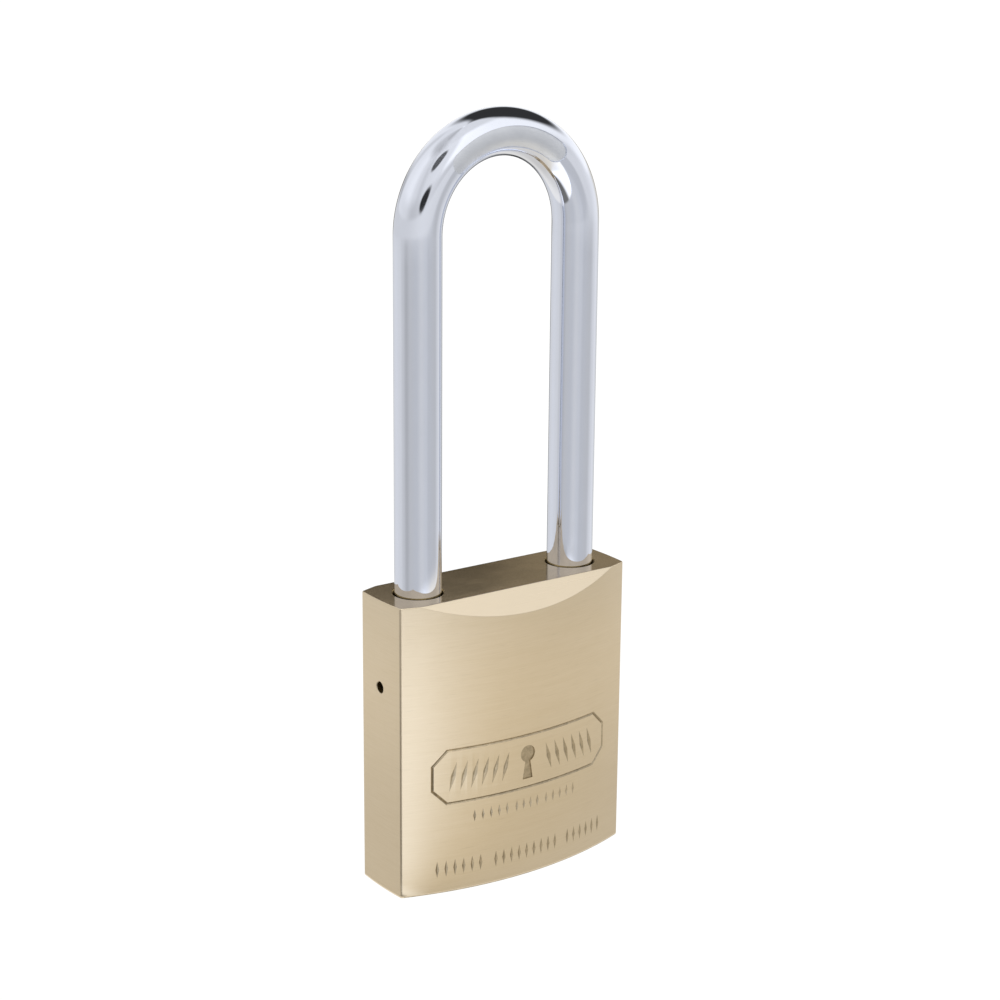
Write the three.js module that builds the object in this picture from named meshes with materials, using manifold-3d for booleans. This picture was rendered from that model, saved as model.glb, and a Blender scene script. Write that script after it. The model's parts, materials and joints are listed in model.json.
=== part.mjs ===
// A solid brass padlock with a long steel shackle, locked by two balls and worked by a pin cylinder.
// Millimetres, +Z up. The origin is the centre of the body's flat underside.
// +X runs from the long (heel) leg of the shackle to the short (toe) leg; -Y is the front face.
// It is modelled closed, with the cylinder turned to its open position, so the shackle is free to rise.
import * as THREE from "three";
import { mergeVertices } from "three/addons/utils/BufferGeometryUtils.js";
import Module from "manifold-3d";

const wasm = await Module();
wasm.setup();
const { Manifold, Mesh: SolidMesh } = wasm;

// ---------------------------------------------------------------- driving dimensions

// Shackle
const legDiameter = 8;
const shackleRise = 80; // from the body's top to the outside of the crown
const legEndChamfer = 0.8;
const steelBelowNotch = 3.5; // full section left under the toe's notch
const headLength = 5; // full section left under the heel's groove, which keeps the shackle in

// Body
const sideWall = 3.5; // from a leg's outside to the side of the body, at its corners
const cornerThickness = 12; // front to back, at the side faces
const faceBow = 4; // rise of the front and back faces at the middle
const sideBow = 0.25;
const edgeChamfer = 0.5; // on the four upright edges
const topFlatThickness = 13.85; // front to back, between the two crescent chamfers
const crescentDrop = 3.75; // height of a crescent chamfer at the middle
const ballDepth = 11; // from the body's top down to the balls' centres
const drainHoleDiameter = 2;
const drainHoleDepth = 15.4; // from the body's top down to the hole in the heel side
const heelFloor = 3.6; // brass under the heel leg's bore

// Ball lock
const ballDiameter = 8;
const ballBite = 1.5; // how far a locked ball reaches into its leg
const heelBallStroke = 0.7; // the heel ball only half leaves its leg, so it still holds the shackle in
const toeBallStroke = 1.9;
const camRadius = 5.3; // the legs stand apart by the cam's width and the balls' reach
const camHeight = 6;
const camStemRadius = 4;
const camPilotRadius = 2;
const camPilotLength = 2.5;
const openingTurn = THREE.MathUtils.degToRad(90);

// Cylinder
const faceRecess = 0.4; // the cylinder's face lies this far inside the body
const plugRadius = 6;
const barrelWall = 1.8;
const housingEndWall = 1.5; // the plug's neck passes through it
const plugFlangeLength = 1.2;
const plugFlangeLip = 0.6;
const plugNeckRadius = 4.5;
const neckLength = 2; // above the housing
const clipThickness = 0.8;
const clipWidth = 1.5;
const clipGrooveDepth = 0.75;
const tongueLength = 4;
const tongueHalfWidth = 1.2;
const tongueHalfLength = 2.6;
const chimneyHalfWidth = 4; // the chimney holds the driver pins, on the toe side of the plug
const chimneyCorner = 1.2;
const chimneyEndWall = 1.4;
const keywayWidth = 1.8;
const keywayStep = 0.7; // how far a side of the keyway stands in at its ward
const keywayDeepEdge = -4.6; // from the plug's axis, on the side away from the pins
const keywayPinEdge = 1.4;
const keywayEndWall = 4.5;

// Pins: numbered from the key's end
const pinRadius = 1.3;
const pinPitch = 3.8;
const firstPinHeight = 4.8;
const wallAboveChambers = 1.85; // between the last chamber and the retaining screw's hole
const keyPinTips = [2.4, 1.9, 2.9, 2.2, 2.6]; // distance of each tip from the plug's axis
const keyPinDrop = 1; // travel of a key pin towards the keyway
const keyPinCone = 0.8;
const driverLength = 4;
const driverWaistDepth = 0.3;
const coverStripThickness = 0.8;
const coverStripHalfWidth = 2.1;
const coverStripOverhang = 0.8; // past the first and last chambers

// Springs: wire diameters and turns
const shackleSpringWire = 0.8;
const shackleSpringTurns = 5;
const camSpringWire = 0.6;
const camSpringTurns = 4;
const camSpringHeight = 8.1;
const pinSpringWire = 0.35;
const pinSpringTurns = 5;

// Retaining screw, reached down the toe bore
const screwOffset = 1.4; // from the toe leg's axis towards the plug
const screwRadius = 1.5;
const screwEngagement = 3.4; // length inside the housing
const screwHeadRadius = 2.6;
const screwHeadHeight = 2;
const screwSocketRadius = 1.4;
const screwSocketDepth = 1.2;

// Clearances
const legClearance = 0.3; // round a leg in its bore
const looseClearance = 0.3; // between fixed pieces
const runningClearance = 0.2; // round a turning or sliding piece
const chamberClearance = 0.15; // round a pin in its chamber
const reliefClearance = 0.25; // between the half drawn heel ball and the relieved side of the leg
const endPlay = 0.5; // under the toe end, and again between it and the body's top when the shackle is up

// Cutting and joining
const overrun = 1; // how far a cutter runs past the face that it opens
const seam = 0.1; // how far the joined shapes of one piece run into each other

// ---------------------------------------------------------------- places worked out from them

const legRadius = legDiameter / 2;
const boreRadius = legRadius + legClearance;
const ballRadius = ballDiameter / 2;
const lockedBallX = camRadius + runningClearance + ballRadius;
const legX = lockedBallX + ballRadius - ballBite + legRadius;
const bodyWidth = 2 * (legX + legRadius + sideWall);
const bodyThickness = cornerThickness + 2 * faceBow;

const chamberRadius = pinRadius + chamberClearance;
const pinHeights = keyPinTips.map((_, i) => firstPinHeight + i * pinPitch);
const screwHoleBottom = pinHeights.at(-1) + chamberRadius + wallAboveChambers;
const cylinderLength = screwHoleBottom + looseClearance + screwEngagement; // up to the housing's top
const plugTop = cylinderLength + neckLength;
const tongueTop = plugTop + tongueLength;
const stemBottom = plugTop + looseClearance;
const camBottom = stemBottom + camSpringHeight + 2 * looseClearance;
const ballLevel = camBottom + camHeight / 2;
const camTop = camBottom + camHeight;
const camRoomTop = camTop + looseClearance;
const bodyTop = ballLevel + ballDepth;
const archLevel = bodyTop + shackleRise - legRadius - legX; // where the legs turn into the arch

const notchRadius = ballRadius + looseClearance;
const notchMouth = ballBite + looseClearance;
const notchHalfHeight = Math.sqrt(notchRadius ** 2 - (notchRadius - notchMouth) ** 2);
const toeEnd = ballLevel - notchHalfHeight - steelBelowNotch;
const toeBoreFloor = toeEnd - endPlay;
const lift = bodyTop - toeEnd + endPlay; // the shackle's travel
const grooveLevel = ballLevel - lift;
const heelEnd = grooveLevel - notchHalfHeight - headLength;

const camRoomRadius = camRadius + 2 * runningClearance;

const barrelRadius = plugRadius + runningClearance + barrelWall;
const screwX = legX - screwOffset;
const chimneyEnd = screwX + screwRadius + looseClearance + chimneyEndWall;
const screwHeadTop = toeBoreFloor - looseClearance;
const screwShelf = screwHeadTop - screwHeadHeight - looseClearance;
const clipBottom = cylinderLength + runningClearance;
const clipGrooveTop = clipBottom + clipThickness + runningClearance;
const clipInside = plugNeckRadius - clipGrooveDepth + runningClearance;
const clipOutside = clipInside + clipWidth;
const shearGap = 0.05; // beyond the corners of a pin's flat end, on each side of the shear line
const keyPinEnd = Math.sqrt(plugRadius ** 2 - pinRadius ** 2) - shearGap;
const driverStart = plugRadius + runningClearance + shearGap;
const coverStart = chimneyEnd - coverStripThickness;
const chamberBottom = Math.min(...keyPinTips) - keyPinDrop - looseClearance;
const coverLow = pinHeights[0] - pinRadius - coverStripOverhang;
const coverHigh = pinHeights.at(-1) + pinRadius + coverStripOverhang;

// ---------------------------------------------------------------- materials

const material = (color, roughness, metalness = 1) =>
  new THREE.MeshStandardMaterial({ color, roughness, metalness });
const brushedBrass = material(0xcdbb93, 0.38);
const machinedBrass = material(0xc2a766, 0.32);
const chromedSteel = material(0xd2d5dc, 0.08);
const ballSteel = material(0xb9bcc2, 0.1);
const springSteel = material(0x9b9fa6, 0.3);
const nickelSilver = material(0xb7b4a6, 0.3);
const blackSteel = material(0x3b3c40, 0.45);

// ---------------------------------------------------------------- solids

/** Turns a closed three.js geometry into a manifold solid. */
function solid(geometry) {
  const bare = geometry.clone();
  bare.deleteAttribute("normal");
  bare.deleteAttribute("uv");
  const merged = mergeVertices(bare, 1e-4);
  return new Manifold(
    new SolidMesh({
      numProp: 3,
      vertProperties: new Float32Array(merged.attributes.position.array),
      triVerts: new Uint32Array(merged.index.array),
    }),
  );
}

/** Turns a manifold solid back into a geometry. */
function geometryOf(shape) {
  const mesh = shape.getMesh();
  return new THREE.BufferGeometry()
    .setAttribute("position", new THREE.BufferAttribute(new Float32Array(mesh.vertProperties), 3))
    .setIndex(new THREE.BufferAttribute(new Uint32Array(mesh.triVerts), 1));
}

/** An upright cylinder between two heights. */
function post(radius, bottom, top, x = 0, sides = 32) {
  const shape = new THREE.CylinderGeometry(radius, radius, top - bottom, sides);
  return solid(shape.rotateX(Math.PI / 2).translate(x, 0, (bottom + top) / 2));
}

/** A cylinder along X at a height. */
function bar(radius, left, right, z, sides = 16) {
  const shape = new THREE.CylinderGeometry(radius, radius, right - left, sides);
  return solid(shape.rotateZ(Math.PI / 2).translate((left + right) / 2, 0, z));
}

/** A box between its lowest and highest corners. */
function block(low, high) {
  const size = high.map((value, i) => value - low[i]);
  const middle = high.map((value, i) => (value + low[i]) / 2);
  return solid(new THREE.BoxGeometry(...size).translate(...middle));
}

function ball(radius, x, z) {
  return solid(new THREE.SphereGeometry(radius, 24, 16).translate(x, 0, z));
}

/** A flat outline raised between two heights. */
function raised(points, bottom, top) {
  const outline = new THREE.Shape(points.map(([x, y]) => new THREE.Vector2(x, y)));
  const options = { depth: top - bottom, bevelEnabled: false };
  return solid(new THREE.ExtrudeGeometry(outline, options).translate(0, 0, bottom));
}

/** A turned piece lying along +X: its profile is [distance along X, radius] from end to end. */
function turnedAlongX(profile, z, sides = 16) {
  const points = profile.map(([x, r]) => new THREE.Vector2(r, x));
  return new THREE.LatheGeometry(points, sides).rotateZ(-Math.PI / 2).translate(0, 0, z);
}

// ---------------------------------------------------------------- curves and outlines

/** The shackle's centre line: one step up the heel leg, the arch, and one step down the toe leg. */
class ShackleLine extends THREE.Curve {
  constructor(archSteps) {
    super();
    this.legShare = 1 / (archSteps + 2);
  }
  angle(t) {
    return Math.PI * (1 - (t - this.legShare) / (1 - 2 * this.legShare));
  }
  getPoint(t) {
    if (t < this.legShare) {
      const z = THREE.MathUtils.lerp(heelEnd, archLevel, t / this.legShare);
      return new THREE.Vector3(-legX, 0, z);
    }
    if (t > 1 - this.legShare) {
      const z = THREE.MathUtils.lerp(toeEnd, archLevel, (1 - t) / this.legShare);
      return new THREE.Vector3(legX, 0, z);
    }
    const a = this.angle(t);
    return new THREE.Vector3(legX * Math.cos(a), 0, archLevel + legX * Math.sin(a));
  }
  getTangent(t) {
    if (t < this.legShare) return new THREE.Vector3(0, 0, 1);
    if (t > 1 - this.legShare) return new THREE.Vector3(0, 0, -1);
    const a = this.angle(t);
    return new THREE.Vector3(Math.sin(a), 0, -Math.cos(a));
  }
  /** Sections fall evenly on t, so the legs take one step each and the arch all the others. */
  getUtoTmapping(u) {
    return u;
  }
}

/** A helix along +Z. */
class Helix extends THREE.Curve {
  constructor(radius, height, turns) {
    super();
    Object.assign(this, { radius, height, turns });
  }
  getPoint(t) {
    const a = 2 * Math.PI * this.turns * t;
    return new THREE.Vector3(this.radius * Math.cos(a), this.radius * Math.sin(a), this.height * t);
  }
}

/** A coil spring that stands on z = 0 and just fits under a ceiling at the given length. */
function coil(meanRadius, wire, length, turns, stepsPerTurn, sides) {
  const tipGap = 0.1;
  const section = new THREE.Shape(
    Array.from({ length: sides }, (_, i) => {
      const a = (2 * Math.PI * i) / sides;
      return new THREE.Vector2((wire / 2) * Math.cos(a), (wire / 2) * Math.sin(a));
    }),
  );
  const helix = new Helix(meanRadius, length - wire - 2 * tipGap, turns);
  const options = { steps: turns * stepsPerTurn, extrudePath: helix, bevelEnabled: false };
  return new THREE.ExtrudeGeometry(section, options).translate(0, 0, wire / 2 + tipGap);
}

/** Points of a bowed edge from a to b, which rises by bow to the right of its direction. */
function bowedEdge([ax, ay], [bx, by], bow, steps) {
  const half = Math.hypot(bx - ax, by - ay) / 2;
  const radius = (half ** 2 + bow ** 2) / (2 * bow);
  const along = [(bx - ax) / (2 * half), (by - ay) / (2 * half)];
  const out = [along[1], -along[0]];
  return Array.from({ length: steps + 1 }, (_, i) => {
    const s = half * ((2 * i) / steps - 1);
    const rise = Math.sqrt(radius ** 2 - s ** 2) - (radius - bow);
    return [(ax + bx) / 2 + along[0] * s + out[0] * rise, (ay + by) / 2 + along[1] * s + out[1] * rise];
  });
}

/** The body's outline in plan: four bowed faces with chamfered corners. */
function bodyOutline() {
  const x = bodyWidth / 2;
  const y = cornerThickness / 2;
  const c = edgeChamfer;
  return [
    ...bowedEdge([-x + c, -y], [x - c, -y], faceBow, 24),
    ...bowedEdge([x, -y + c], [x, y - c], sideBow, 4),
    ...bowedEdge([x - c, y], [-x + c, y], faceBow, 24),
    ...bowedEdge([-x, y - c], [-x, -y + c], sideBow, 4),
  ];
}

/** The cylinder's outline in plan: a round barrel and the chimney that holds the pins. */
function cylinderOutline(grow) {
  const radius = barrelRadius + grow;
  const half = chimneyHalfWidth + grow;
  const start = Math.asin(half / radius);
  const steps = 28;
  const barrel = Array.from({ length: steps + 1 }, (_, i) => {
    const a = start + ((2 * Math.PI - 2 * start) * i) / steps;
    return [radius * Math.cos(a), radius * Math.sin(a)];
  });
  const end = chimneyEnd + grow;
  const c = chimneyCorner;
  return [...barrel, [end - c, -half], [end, -half + c], [end, half - c], [end - c, half]];
}

/** The cam's outline: a circle cut back to clear both balls all through the turn.
    Seen from the cam, the balls pass round it the other way as it turns. */
function camOutline() {
  const reach = ballRadius + runningClearance;
  const steps = 64;
  const samples = 30;
  const balls = [
    { side: 0, stroke: toeBallStroke },
    { side: Math.PI, stroke: heelBallStroke },
  ];
  const points = [];
  for (let i = 0; i < steps; i++) {
    const a = (2 * Math.PI * i) / steps;
    let radius = camRadius;
    for (const { side, stroke } of balls)
      for (let k = 0; k <= samples; k++) {
        const open = k / samples; // share of the turn from locked to open
        const distance = lockedBallX - stroke * open;
        const off = a - (side - openingTurn * open);
        const miss = distance * Math.sin(off);
        if (Math.cos(off) <= 0 || Math.abs(miss) >= reach) continue;
        radius = Math.min(radius, distance * Math.cos(off) - Math.sqrt(reach ** 2 - miss ** 2));
      }
    points.push([radius * Math.cos(a), radius * Math.sin(a)]);
  }
  return points;
}

/** The keyway's outline: a slot with a ward standing in from each side. */
function keywayOutline() {
  const half = keywayWidth / 2;
  const stepped = half - keywayStep;
  const slope = 0.3;
  const length = keywayPinEdge - keywayDeepEdge;
  const wardStart = keywayDeepEdge + 0.3 * length;
  const wardEnd = keywayDeepEdge + 0.5 * length;
  const narrowStart = keywayPinEdge - 0.25 * length;
  return [
    [keywayDeepEdge, -half],
    [wardStart, -half],
    [wardStart + slope, -stepped],
    [wardEnd, -stepped],
    [wardEnd + slope, -half],
    [keywayPinEdge, -half],
    [keywayPinEdge, stepped],
    [narrowStart, stepped],
    [narrowStart - slope, half],
    [keywayDeepEdge, half],
  ];
}

// ---------------------------------------------------------------- body and shackle

/** The wedge of brass that a crescent chamfer takes off the back edge of the top. */
function crescentWedge() {
  const flat = topFlatThickness / 2;
  const slope = crescentDrop / (bodyThickness / 2 - flat);
  const reach = faceBow + 2 * overrun;
  const section = new THREE.Shape([
    new THREE.Vector2(flat - overrun, bodyTop + slope * overrun),
    new THREE.Vector2(flat + reach, bodyTop - slope * reach),
    new THREE.Vector2(flat + reach, bodyTop + slope * overrun),
  ]);
  const length = bodyWidth + 2 * overrun;
  const wedge = new THREE.ExtrudeGeometry(section, { depth: length, bevelEnabled: false });
  // The section's x becomes the body's y, its y the body's z, and it runs along the body's x.
  const turn = new THREE.Matrix4().set(0, 0, 1, -length / 2, 1, 0, 0, 0, 0, 1, 0, 0, 0, 0, 0, 1);
  return wedge.applyMatrix4(turn);
}

function body() {
  const backWedge = crescentWedge();
  const frontWedge = backWedge.clone().rotateZ(Math.PI);
  const pilotTop = camTop + camPilotLength + looseClearance;
  const blank = raised(bodyOutline(), 0, bodyTop).subtract(solid(backWedge)).subtract(solid(frontWedge));
  return blank
    .subtract(post(boreRadius, heelFloor, bodyTop + overrun, -legX))
    .subtract(post(boreRadius, toeBoreFloor, bodyTop + overrun, legX))
    .subtract(raised(cylinderOutline(looseClearance), -overrun, cylinderLength + looseClearance))
    .subtract(post(clipOutside + looseClearance, cylinderLength, plugTop))
    .subtract(post(camRoomRadius, cylinderLength, camRoomTop))
    .subtract(post(camPilotRadius + runningClearance, camTop, pilotTop, 0, 20))
    .subtract(bar(ballRadius + runningClearance, -legX, legX, ballLevel, 24))
    .subtract(bar(drainHoleDiameter / 2, -bodyWidth, -legX, bodyTop - drainHoleDepth, 20))
    .subtract(post(screwRadius + looseClearance, cylinderLength, toeBoreFloor + overrun, screwX, 16))
    .subtract(post(screwHeadRadius + looseClearance, screwShelf, toeBoreFloor + overrun, screwX, 24));
}

/** The ring of steel that the chamfer takes off the end of a leg. */
function endChamferRing(x, end) {
  const inside = legRadius - legEndChamfer;
  const outside = legRadius + overrun;
  const profile = [
    [inside - seam, end - seam],
    [outside, end - seam],
    [outside, end + legEndChamfer + overrun],
    [inside - seam, end - seam],
  ].map(([r, z]) => new THREE.Vector2(r, z));
  return solid(new THREE.LatheGeometry(profile, 24).rotateX(Math.PI / 2).translate(x, 0, 0));
}

function shackle() {
  const archSteps = 24;
  const section = new THREE.Shape().absarc(0, 0, legRadius, 0, 2 * Math.PI);
  const options = {
    steps: archSteps + 2,
    curveSegments: 24,
    extrudePath: new ShackleLine(archSteps),
    bevelEnabled: false,
  };
  const rod = solid(new THREE.ExtrudeGeometry(section, options));
  const grooveRing = new THREE.TorusGeometry(legX - lockedBallX, notchRadius, 16, 32);
  // The inner side of the heel leg is relieved from the groove up to the notch, to pass the half drawn ball.
  const reliefX = lockedBallX + ballRadius - heelBallStroke + reliefClearance;
  return rod
    .subtract(ball(notchRadius, lockedBallX, ballLevel))
    .subtract(ball(notchRadius, -lockedBallX, ballLevel))
    .subtract(solid(grooveRing.translate(-legX, 0, grooveLevel)))
    .subtract(block([-reliefX, -legDiameter, grooveLevel], [0, legDiameter, ballLevel]))
    .subtract(endChamferRing(-legX, heelEnd))
    .subtract(endChamferRing(legX, toeEnd));
}

// ---------------------------------------------------------------- ball lock

/** The cam as it stands when locked. */
function lockingCam() {
  const slotHalfWidth = tongueHalfWidth + looseClearance;
  const slotHalfLength = tongueHalfLength + looseClearance;
  const slot = block(
    [-slotHalfLength, -slotHalfWidth, stemBottom - overrun],
    [slotHalfLength, slotHalfWidth, tongueTop + looseClearance],
  );
  return raised(camOutline(), camBottom, camTop)
    .add(post(camStemRadius, stemBottom, camBottom + seam))
    .add(post(camPilotRadius, camTop - seam, camTop + camPilotLength, 0, 20))
    .subtract(slot);
}

function camReturnSpring() {
  const radius = camStemRadius + runningClearance + camSpringWire / 2;
  const spring = coil(radius, camSpringWire, camSpringHeight, camSpringTurns, 14, 5);
  return spring.translate(0, 0, stemBottom + looseClearance);
}

function shackleSpring() {
  const radius = legRadius - shackleSpringWire / 2 - looseClearance;
  const spring = coil(radius, shackleSpringWire, heelEnd - heelFloor, shackleSpringTurns, 14, 5);
  return spring.translate(-legX, 0, heelFloor);
}

// ---------------------------------------------------------------- pin cylinder

function cylinderHousing() {
  const plugBore = plugRadius + runningClearance;
  const flangeTop = faceRecess + plugFlangeLength + runningClearance;
  const slotHalfWidth = coverStripHalfWidth + looseClearance;
  const coverSlot = block(
    [coverStart - looseClearance, -slotHalfWidth, coverLow - looseClearance],
    [chimneyEnd + overrun, slotHalfWidth, coverHigh + looseClearance],
  );
  const chambers = pinHeights.map((z) => bar(chamberRadius, plugRadius - overrun, chimneyEnd + overrun, z));
  const shell = raised(cylinderOutline(0), faceRecess, cylinderLength)
    .subtract(post(plugBore, -overrun, cylinderLength - housingEndWall))
    .subtract(post(plugNeckRadius + runningClearance, -overrun, cylinderLength + overrun))
    .subtract(post(plugBore + plugFlangeLip, -overrun, flangeTop))
    .subtract(post(screwRadius + looseClearance, screwHoleBottom, cylinderLength + overrun, screwX, 16))
    .subtract(coverSlot);
  return chambers.reduce((housing, chamber) => housing.subtract(chamber), shell);
}

/** The plug as it stands when locked, with its pin chambers facing +X. */
function cylinderPlug() {
  const bodyEnd = cylinderLength - housingEndWall - runningClearance;
  const groove = post(plugNeckRadius + overrun, clipBottom - runningClearance, clipGrooveTop)
    .subtract(post(plugNeckRadius - clipGrooveDepth, clipBottom - overrun, clipGrooveTop + overrun));
  const tongue = block(
    [-tongueHalfLength, -tongueHalfWidth, plugTop - seam],
    [tongueHalfLength, tongueHalfWidth, tongueTop],
  );
  const turnedBlank = post(plugRadius, faceRecess, bodyEnd)
    .add(post(plugRadius + plugFlangeLip, faceRecess, faceRecess + plugFlangeLength))
    .add(post(plugNeckRadius, bodyEnd - seam, plugTop))
    .add(tongue)
    .subtract(groove)
    .subtract(raised(keywayOutline(), -overrun, cylinderLength - keywayEndWall));
  const chambers = pinHeights.map((z) => bar(chamberRadius, chamberBottom, plugRadius + overrun, z));
  return chambers.reduce((plug, chamber) => plug.subtract(chamber), turnedBlank);
}

/** An open ring that snaps into the plug's groove. */
function retainingClip() {
  const halfGap = 0.6; // radians
  const steps = 20;
  const arc = (radius, from, to) =>
    Array.from({ length: steps + 1 }, (_, i) => {
      const a = from + ((to - from) * i) / steps;
      return [radius * Math.cos(a), radius * Math.sin(a)];
    });
  const ring = [
    ...arc(clipOutside, halfGap, 2 * Math.PI - halfGap),
    ...arc(clipInside, 2 * Math.PI - halfGap, halfGap),
  ];
  return raised(ring, clipBottom, clipBottom + clipThickness);
}

function keyPin(tip, z) {
  const tipRadius = pinRadius / 3;
  const profile = [
    [tip, 0],
    [tip, tipRadius],
    [tip + keyPinCone, pinRadius],
    [keyPinEnd, pinRadius],
    [keyPinEnd, 0],
  ];
  return turnedAlongX(profile, z);
}

/** A driver pin with a waist, which resists picking. */
function driverPin(z) {
  const waist = pinRadius - driverWaistDepth;
  const profile = [
    [0, 0],
    [0, pinRadius],
    [0.2 * driverLength, pinRadius],
    [0.3 * driverLength, waist],
    [0.6 * driverLength, waist],
    [0.7 * driverLength, pinRadius],
    [driverLength, pinRadius],
    [driverLength, 0],
  ].map(([x, r]) => [driverStart + x, r]);
  return turnedAlongX(profile, z);
}

function pinSpring(z) {
  const start = driverStart + driverLength;
  const radius = pinRadius - pinSpringWire / 2 - 0.1;
  const spring = coil(radius, pinSpringWire, coverStart - start, pinSpringTurns, 8, 4);
  return spring.rotateY(Math.PI / 2).translate(start, 0, z);
}

function chamberCoverStrip() {
  return block([coverStart, -coverStripHalfWidth, coverLow], [chimneyEnd, coverStripHalfWidth, coverHigh]);
}

function retainingScrew() {
  const shankBottom = cylinderLength - screwEngagement;
  const headBottom = screwHeadTop - screwHeadHeight;
  const socket = new THREE.CylinderGeometry(screwSocketRadius, screwSocketRadius, 2 * screwSocketDepth, 6);
  return post(screwRadius, shankBottom, headBottom + seam, screwX, 16)
    .add(post(screwHeadRadius, headBottom, screwHeadTop, screwX, 24))
    .subtract(solid(socket.rotateX(Math.PI / 2).translate(screwX, 0, screwHeadTop)));
}

// ---------------------------------------------------------------- assembly

const padlock = new THREE.Group();

// The plug, its key pins and the cam are drawn as they stand when locked, and turned to open together.
const turned = new THREE.Group();
turned.rotation.z = openingTurn;
padlock.add(turned);

function place(name, shape, finish, parent = padlock) {
  const geometry = shape.isBufferGeometry ? shape : geometryOf(shape);
  const mesh = new THREE.Mesh(geometry, finish);
  mesh.name = name;
  parent.add(mesh);
}

place("body", body(), brushedBrass);
place("shackle", shackle(), chromedSteel);
place("shackle_spring", shackleSpring(), springSteel);

place("locking_ball_toe", ball(ballRadius, lockedBallX - toeBallStroke, ballLevel), ballSteel);
place("locking_ball_heel", ball(ballRadius, heelBallStroke - lockedBallX, ballLevel), ballSteel);
place("locking_cam", lockingCam(), machinedBrass, turned);
place("cam_return_spring", camReturnSpring(), springSteel);

place("cylinder_housing", cylinderHousing(), machinedBrass);
place("cylinder_plug", cylinderPlug(), nickelSilver, turned);
place("plug_retaining_clip", retainingClip(), blackSteel, turned);
place("chamber_cover_strip", chamberCoverStrip(), machinedBrass);
place("cylinder_retaining_screw", retainingScrew(), blackSteel);

pinHeights.forEach((z, i) => {
  place(`key_pin_${i + 1}`, keyPin(keyPinTips[i], z), machinedBrass, turned);
  place(`driver_pin_${i + 1}`, driverPin(z), nickelSilver);
  place(`pin_spring_${i + 1}`, pinSpring(z), springSteel);
});

export default padlock;
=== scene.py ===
"""The looks of a solid brass padlock with a long chromed shackle.

Sizes are in millimetres until a mesh is written, and +X runs from the heel leg to the toe leg.
"""
import json
import math

import bmesh
import bpy
from mathutils import Matrix, Vector


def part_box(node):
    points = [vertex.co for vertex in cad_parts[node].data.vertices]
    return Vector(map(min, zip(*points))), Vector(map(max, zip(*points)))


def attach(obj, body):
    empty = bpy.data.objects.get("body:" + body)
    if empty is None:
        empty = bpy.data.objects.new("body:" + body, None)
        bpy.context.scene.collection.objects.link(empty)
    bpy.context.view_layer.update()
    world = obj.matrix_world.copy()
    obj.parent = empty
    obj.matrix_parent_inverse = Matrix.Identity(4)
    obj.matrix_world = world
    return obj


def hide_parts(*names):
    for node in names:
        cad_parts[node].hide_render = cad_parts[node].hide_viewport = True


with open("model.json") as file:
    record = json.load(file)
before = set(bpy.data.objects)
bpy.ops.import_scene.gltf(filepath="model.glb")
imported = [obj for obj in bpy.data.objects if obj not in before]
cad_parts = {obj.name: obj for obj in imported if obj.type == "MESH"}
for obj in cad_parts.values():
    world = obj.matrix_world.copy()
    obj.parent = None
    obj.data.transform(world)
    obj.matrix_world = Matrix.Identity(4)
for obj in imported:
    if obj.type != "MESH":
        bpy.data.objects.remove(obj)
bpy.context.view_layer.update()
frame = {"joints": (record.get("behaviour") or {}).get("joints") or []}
MM = 0.001
scene = bpy.context.scene


# -------------------- sizes

def corners(node):
    """A CAD node's lowest and highest corners."""
    low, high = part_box(node)
    return low / MM, high / MM


def middle(node):
    low, high = corners(node)
    return (low + high) / 2


body_high = corners("body")[1]
shackle_low, shackle_high = corners("shackle")
housing_high = corners("cylinder_housing")[1]
plug_low, plug_high = corners("cylinder_plug")
toe_ball = middle("locking_ball_toe")
heel_ball = middle("locking_ball_heel")

# How far a cutter runs past what it cuts, and how far shapes that are joined run into each other
past = 1
joined = 0.1

# Body
face_bow = 4
side_bow = 0.25
edge_round = 0.5
rim_round = 0.14
base_round = 0.3
top_flat_half = 6.925
crescent_drop = 3.75
body_top = body_high.z
half_width = body_high.x - side_bow
half_corner = body_high.y - face_bow
crescent_slope = crescent_drop / (body_high.y - top_flat_half)
drain_hole_radius = 1
drain_hole_level = body_top - 15.4
drain_hole_flare = 0.12
bore_flare = 0.16
heel_floor = corners("shackle_spring")[0].z

# Shackle
leg_radius = shackle_high.y
leg_x = shackle_high.x - leg_radius
arch_level = shackle_high.z - leg_radius - leg_x
heel_end = shackle_low.z
leg_end_chamfer = 0.8
bore_radius = leg_radius + 0.3
end_play = 0.5
lift = next(j for j in frame["joints"] if j["name"] == "shackle_lift")["range_m"][1] / MM
toe_end = body_top - lift + end_play
toe_bore_floor = toe_end - end_play

# Ball lock and cam
ball_level = toe_ball.z
ball_radius = toe_ball.z - corners("locking_ball_toe")[0].z
toe_ball_stroke = 1.9
heel_ball_stroke = 0.7
locked_ball_x = toe_ball.x + toe_ball_stroke
notch_radius = ball_radius + 0.3
groove_level = ball_level - lift
relief_x = locked_ball_x + ball_radius - heel_ball_stroke + 0.25
cam_radius = 5.3
cam_low, cam_high = corners("locking_cam")
cam_height = 6
cam_pilot_length = 2.5
cam_top = cam_high.z - cam_pilot_length
cam_bottom = cam_top - cam_height
cam_stem_radius = 4
cam_pilot_radius = 2
cam_room_radius = cam_radius + 0.4
opening_turn = math.radians(90)

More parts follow.
